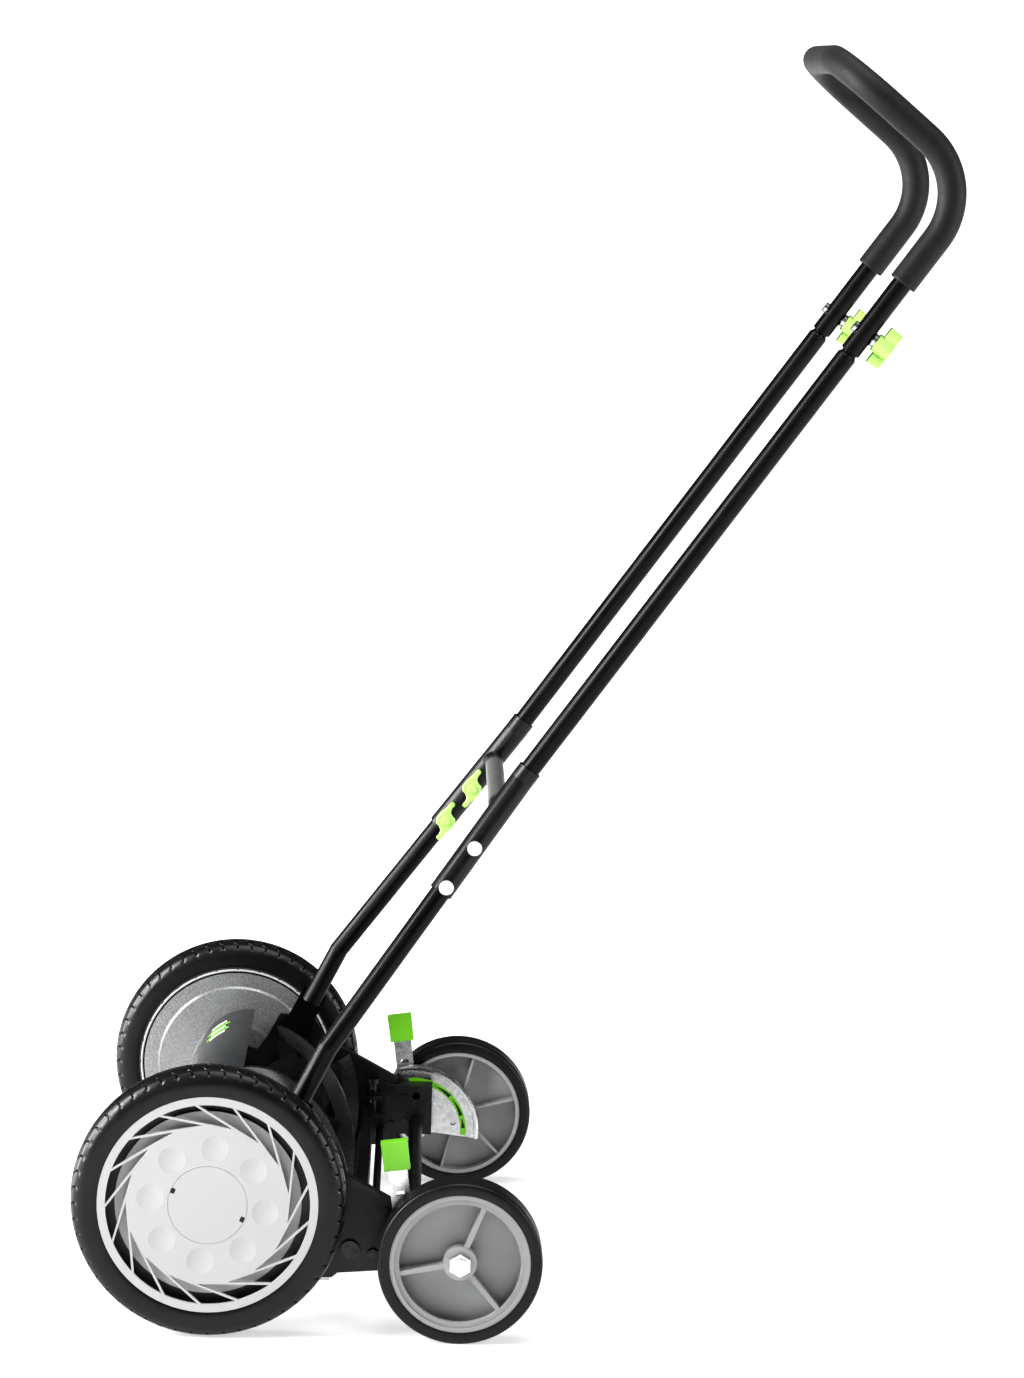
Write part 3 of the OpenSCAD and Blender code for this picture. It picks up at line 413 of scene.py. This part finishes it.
REAR_SECTION = [(65, -17.2), (66, -17.5), (73.2, -17.5), (74.7, -16.9), (75.7, -15.6), (76.1, -14),
                (76.2, -11), (75.4, -10.6), (75.4, -9.6), (76.2, -9.2), (76.2, -4.6), (75.4, -4.2),
                (75.4, -3.2), (76.2, -2.8)]
REAR_SECTION += [(r, -y) for r, y in reversed(REAR_SECTION)]
for side, sign in SIDES:
    lo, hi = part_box("rear_tyre_" + side)
    mid = (lo.y + hi.y) / 2 / MM
    centre = place("rear_wheel_%s_spin" % side)
    o = revolved("rear_tread_" + side, centre, [(r, mid + y) for r, y in REAR_SECTION], 180,
                 "rear_wheel_" + side, "rear_rubber", 45)
    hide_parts("rear_tyre_" + side)
    # bright lip round the inner edge of the drive wheel's rim, with small moulding notches
    lo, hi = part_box("tyre_" + side)
    face = (hi.y if sign < 0 else lo.y) / MM
    lip = [(97.6, 0), (97.6, 0.9), (98.2, 1.3), (99.2, 1.3), (99.8, 0.9), (99.8, 0)]
    lip = [(r, face - sign * (y - 0.2)) for r, y in lip]
    revolved("rim_lip_" + side, place("drive_wheel_%s_spin" % side), lip, 28 * 12,
             "drive_wheel_" + side, "rim_lip", 40, lambda k, r, y: 0.9 if k % 12 == 0 and r > 98.5 else 0)


# ---- Painted shade: black pieces just under the centre caps' faces darken the slots at their edge ----
for side, sign in SIDES:
    lo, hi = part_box("centre_cap_" + side)
    face = (lo.y if sign < 0 else hi.y) / MM
    centre = place("drive_wheel_%s_spin" % side) / MM
    centre.y = 0
    for k, a in enumerate((158, 338)):
        square = [(32.5, -2.3), (36.1, -2.3), (36.1, 2.3), (32.5, 2.3)]
        y = sorted((face - sign * 1.9, face - sign * 0.7))
        prism("cap_slot_shade_%s_%d" % (side, k), square, y[0], y[1], centre, direction(a), direction(a + 90),
              Vector((0, 1, 0)), "drive_wheel_" + side, "black_frame", 0)

# ---- Foam grip ----
LEG_A, BEND, BEND_R, TURN_R = 54.4, 85.8, 68.0, 62.0
HALF, TOP_L, GRIP_S = 150.0, 172.0, 79.0
KICK_A, KICK_L, LEG_L, UPPER_L = 63.4, 96.5, 804.0, 193.7
pivot = place("handle_fold") / MM
kick = pivot + direction(KICK_A) * KICK_L
leg_top = kick + direction(LEG_A) * LEG_L
corner = leg_top + direction(LEG_A) * UPPER_L
bend_cut = BEND_R * math.tan(math.radians(BEND / 2))
top_a = LEG_A + BEND
bend_c = corner + direction(LEG_A + BEND / 2 + 90) * (BEND_R / math.cos(math.radians(BEND / 2)))


def grip_path():
    """Middle line of the loop from the foam's lower end on the +Y side round to the other."""
    side = Vector((0, HALF, 0))
    pts = []
    a, b = leg_top + direction(LEG_A) * GRIP_S, corner - direction(LEG_A) * bend_cut
    pts += [a.lerp(b, k / 4) + side for k in range(4)]
    n = 20
    pts += [bend_c + direction(LEG_A - 90 + BEND * k / n) * BEND_R + side for k in range(n + 1)]
    a, b = corner + direction(top_a) * bend_cut, corner + direction(top_a) * (TOP_L - TURN_R)
    pts += [a.lerp(b, k / 4) + side for k in range(1, 4)]
    c = corner + direction(top_a) * (TOP_L - TURN_R)
    for k in range(n + 1):
        t = math.radians(90 * k / n)
        pts.append(c + direction(top_a) * (TURN_R * math.sin(t))
                   + Vector((0, HALF - TURN_R + TURN_R * math.cos(t), 0)))
    bar = corner + direction(top_a) * TOP_L
    pts += [bar + Vector((0, y, 0)) for y in (60, 30)]
    back = [Vector((p.x, -p.y, p.z)) for p in reversed(pts)]
    return pts + [bar] + back


def along(path, s):
    """Point and direction at length s of the path."""
    for a, b in zip(path, path[1:]):
        d = (b - a).length
        if s <= d or b is path[-1]:
            return a + (b - a) * (s / d), (b - a).normalized()
        s -= d


def swept(name, path, stations, count, body, slot, smooth=40):
    """A round form along the path. stations is a closed loop of (length along it, radius)."""
    rings = []
    for s, r in stations:
        p, t = along(path, s)
        rings.append((p, t, r))
    verts = []
    u = None
    for p, t, r in rings:
        if u is None:
            u = t.orthogonal().normalized()
        u = (u - t * u.dot(t)).normalized()
        w = t.cross(u)
        for k in range(count):
            a = 2 * math.pi * k / count
            verts.append((p + (u * math.cos(a) + w * math.sin(a)) * r) * MM)
    return new_mesh(name, verts, grid_faces(len(rings), count), body, slot, smooth)


path = grip_path()
total = sum((b - a).length for a, b in zip(path, path[1:]))
mid_s = [3 + (total - 6) * k / 170 for k in range(171)]
outer = [(0, 12.4), (0.25, 12.9), (0.8, 13.3), (1.8, 13.5)]
stations = [(0, 9.56)] + outer + [(s, 13.5 - 0.12 * math.sin(s / 37) ** 2) for s in mid_s]
stations += [(total - s, r) for s, r in reversed(outer)] + [(total, 9.56)]
stations += [(s, 9.56) for s in reversed(mid_s[::3])]
o = swept("grip_foam", path, stations, 32, "handle", "foam", 50)
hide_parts("foam_grip")


def smooth_loop(points, n=5):
    """Catmull-Rom curve through a closed loop of points."""
    out = []
    m = len(points)
    for i in range(m):
        p0, p1, p2, p3 = (points[(i + k - 1) % m] for k in range(4))
        for k in range(n):
            t = k / n
            out.append(tuple(0.5 * (2 * p1[c] + (p2[c] - p0[c]) * t
                                    + (2 * p0[c] - 5 * p1[c] + 4 * p2[c] - p3[c]) * t * t
                                    + (3 * p1[c] - p0[c] - 3 * p2[c] + p3[c]) * t ** 3) for c in (0, 1)))
    return out


# ---- Wing nuts on the splice bolts ----
HALF_NUT = [(8.0, -3.2), (9.8, 0.2), (12.4, 1.9), (15.6, 2.4), (18.4, 2.2), (19.9, 3.8), (19.4, 6.2),
            (16.8, 7.2), (12.4, 7.4), (8, 8.2), (3, 9.2), (-3, 9.0), (-7.4, 6.4)]
NUT_OUTLINE = smooth_loop(HALF_NUT + [(-a, -b) for a, b in HALF_NUT])
u, v = direction(LEG_A), direction(LEG_A + 90)
across = Vector((0, 1, 0))
for i in (1, 2, 3, 4):
    name = "wing_nut_%d" % i
    lo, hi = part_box(name)
    sign = -1 if i < 3 else 1
    origin = place("splice_nut_%d_turn" % i) / MM
    origin.y = 0
    outer_y = (hi.y if sign > 0 else lo.y) / MM
    w = across * -sign
    body = "splice_nut_%d" % i
    o = prism("nut_wings_%d" % i, NUT_OUTLINE, -sign * outer_y + 3.5, -sign * outer_y + 9.0, origin,
              u, v, w, body, "pale_plastic", 1.3)
    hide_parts(name)
    circle = [(8.0 * math.cos(k * math.pi / 20), 8.0 * math.sin(k * math.pi / 20)) for k in range(40)]
    prism("nut_base_%d" % i, circle, -sign * outer_y + 0.1, -sign * outer_y + 4.2, origin, u, v, w, body,
          "pale_plastic", 0.6)
    small = [(a * 0.62, b * 0.62) for a, b in circle]
    prism("nut_dome_%d" % i, small, -sign * outer_y + 8.0, -sign * outer_y + 11.2, origin, u, v, w, body,
          "pale_plastic", 1.2, 0.12)

# ---- Knobs ----
def knob_outline():
    """One half: the hub's round flank, then a wing with a ribbed end."""
    half = []
    for k in range(7):
        a = math.radians(100 - 14 * k)
        half.append((9.2 * math.cos(a), 9.2 * math.sin(a)))
    half += [(11.5, 4.9), (13.5, 5.2)]
    ribs = 5
    for k in range(ribs * 4 + 1):
        t = k / (ribs * 4)
        bulge = 0.55 * (1 - math.cos(2 * math.pi * t * ribs)) / 2
        half.append((18.6 + bulge + 0.9 * math.sin(math.pi * t), 5.0 - 11.0 * t))
    half += [(16.0, -6.7), (13.0, -6.8), (10.4, -6.6)]
    for k in range(3):
        a = math.radians(-38 - 14 * k)
        half.append((9.2 * math.cos(a), 9.2 * math.sin(a)))
    return half + [(-a, -b) for a, b in half]


w = direction(LEG_A - 90)
for side, sign in SIDES:
    origin = leg_top + direction(LEG_A) * 21.7 + Vector((0, sign * HALF, 0))
    body = "handle_knob_" + side
    o = prism("knob_wings_" + side, knob_outline(), 17.2, 30.4, origin, u, across, w, body,
              "pale_plastic", 1.1, 0.05)
    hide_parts("knob_" + side)
    disc = [(9.0 * math.cos(k * math.pi / 24), 9.0 * math.sin(k * math.pi / 24)) for k in range(48)]
    prism("knob_collar_" + side, disc, 13.1, 17.6, origin, u, across, w, body, "pale_plastic", 0.7)

# ---- Lever caps ----
for side, sign in SIDES:
    lo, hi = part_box("lever_cap_" + side)
    lp = place("height_lever_%s_swing" % side) / MM
    lp.y = 0
    y0, y1 = lo.y / MM, hi.y / MM
    lean = 98.0
    u2, v2 = direction(lean), direction(lean + 90)
    outline = [(95.5, -12), (96.7, -12.3), (98.7, -12.1), (122.6, -12.5), (123, -12.4),
               (123, 12.4), (98.7, 12.1), (96.7, 12.3), (95.5, 12)]
    o = prism("cap_" + side, outline, y0, y1, lp, u2, v2, across, "height_lever_" + side, "lime_plastic", 1.4)
    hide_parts("lever_cap_" + side)

# ---- Marks on the scales, and the guard's label ----
BAND_T = 0.8


def wedge(name, centre, r0, r1, a0, a1, y0, y1, slot, body="chassis"):
    """A printed mark along an arc that tapers from its full width to a point."""
    n = 14
    outline = []
    mid = (r0 + r1) / 2
    for k in range(n + 1):
        t = k / n
        outline.append((mid + (r1 - mid) * (1 - t), a0 + (a1 - a0) * t))
    for k in range(n, -1, -1):
        t = k / n
        outline.append((mid - (mid - r0) * (1 - t) - 0.05, a0 + (a1 - a0) * t))
    pts = [(direction(a) * r).to_tuple() for r, a in outline]
    flat = [(p[0], p[2]) for p in pts]
    return prism(name, flat, y0, y1, Vector((centre.x, 0, centre.z)), Vector((1, 0, 0)), Vector((0, 0, 1)),
                 across, body, slot, 0)


for side, sign in SIDES:
    lp = place("height_lever_%s_swing" % side) / MM
    lo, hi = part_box("scale_bands")
    inner = sign * (hi.y / MM - BAND_T)
    y = sorted((inner - sign * 0.15, inner + sign * 0.1))
    for k, (a, b) in enumerate(((66, 44), (41, 18), (15, 3))):
        wedge("scale_mark_%s_%d" % (side, k), lp, 50.6, 54.4, b, a, y[0], y[1], "black_frame")

reel_at = place("reel_spin") / MM
guard_at = reel_at + direction(147) * 54.2
GUARD_R = 53.5
for k in range(5):
    y0 = 150 + 11 * k
    r0, r1 = GUARD_R - 0.05, GUARD_R + 0.25
    a0, a1 = (112, 142) if k % 2 else (116, 136)
    n = 8
    arc = [(r1, a0 + (a1 - a0) * i / n) for i in range(n + 1)]
    arc += [(r0, a1 - (a1 - a0) * i / n) for i in range(n + 1)]
    flat = [((direction(a) * r).x, (direction(a) * r).z) for r, a in arc]
    prism("guard_stripe_%d" % k, flat, y0, y0 + 6, Vector((guard_at.x, 0, guard_at.z)), Vector((1, 0, 0)),
          Vector((0, 0, 1)), across, "chassis", "lime_print" if k % 2 else "label_white", 0)

# ---- Camera ----
cam = bpy.data.objects.new("camera", bpy.data.cameras.new("camera"))
bpy.context.scene.collection.objects.link(cam)
yaw, pitch, roll = 0.0209, 0.146, 0.0272
fwd = Vector((math.sin(yaw) * math.cos(pitch), math.cos(yaw) * math.cos(pitch), -math.sin(pitch)))
side = Vector((math.cos(yaw), -math.sin(yaw), 0))
up = side.cross(fwd)
right = math.cos(roll) * side + math.sin(roll) * up
top = -math.sin(roll) * side + math.cos(roll) * up
turn = Matrix((right, top, -fwd)).transposed()
cam.matrix_world = Matrix.Translation(Vector((-0.08734, -4.07336, 1.16612))) @ turn.to_4x4()
cam.data.sensor_width = 36
cam.data.lens = 110.7483
cam.data.clip_end = 100
bpy.context.scene.camera = cam

# ---- Floor and light ----
world = bpy.data.worlds.new("studio")
world.use_nodes = True
nt = world.node_tree
nt.nodes["Background"].inputs["Color"].default_value = (1, 1, 1, 1)
nt.nodes["Background"].inputs["Strength"].default_value = 0.06
backdrop = node(nt, "ShaderNodeBackground", Strength=1.0)
backdrop.inputs["Color"].default_value = (1, 1, 1, 1)
seen = node(nt, "ShaderNodeLightPath")
pick = node(nt, "ShaderNodeMixShader")
link(nt, seen.outputs["Is Camera Ray"], pick.inputs[0])
link(nt, nt.nodes["Background"].outputs[0], pick.inputs[1])
link(nt, backdrop.outputs[0], pick.inputs[2])
link(nt, pick.outputs[0], nt.nodes["World Output"].inputs["Surface"])
bpy.context.scene.world = world
bpy.context.scene.view_settings.view_transform = "Standard"
bpy.context.scene.view_settings.look = "High Contrast"
bpy.ops.mesh.primitive_plane_add(size=40, location=(0, 0, 0))
floor = bpy.context.object
floor.name = "floor"
m, nt, p = tree("floor_white")
p.inputs["Base Color"].default_value = (0.6, 0.6, 0.6, 1)
p.inputs["Specular IOR Level"].default_value = 0.2
link(nt, spread(nt, noise(nt, 3, 3), 0.75, 0.85), p.inputs["Roughness"])
# the floor glows more with distance, so that it runs into the white backdrop
reach = node(nt, "ShaderNodeVectorMath", operation="LENGTH")
link(nt, coords(nt), reach.inputs[0])
p.inputs["Emission Color"].default_value = (1, 1, 1, 1)
link(nt, spread(nt, reach.outputs["Value"], 0.42, 1.0, 0.5, 2.2), p.inputs["Emission Strength"])
floor.data.materials.append(m)


def softbox(name, at, aim, size, watts):
    data = bpy.data.lights.new(name, "AREA")
    data.shape = "RECTANGLE"
    data.size, data.size_y = size
    data.energy = watts
    o = bpy.data.objects.new(name, data)
    o.location = at
    o.rotation_mode = "QUATERNION"
    o.rotation_quaternion = (Vector(aim) - Vector(at)).to_track_quat("-Z", "Y")
    bpy.context.scene.collection.objects.link(o)


softbox("left_key", (-3.0, -1.05, 1.8), (-0.1, 0, 0.3), (0.9, 2.2), 150)
softbox("left_rim", (-2.6, 0.35, 0.7), (-0.35, -0.2, 0.2), (0.7, 1.6), 60)
softbox("front_fill", (-1.2, -3.2, 2.0), (0, 0, 0.4), (1.8, 1.8), 6)
softbox("top", (0.3, -0.4, 3.4), (0, 0, 0.3), (2.5, 2.5), 60)
softbox("right_edge", (2.8, -1.0, 1.4), (0.1, 0, 0.6), (0.7, 2.2), 45)
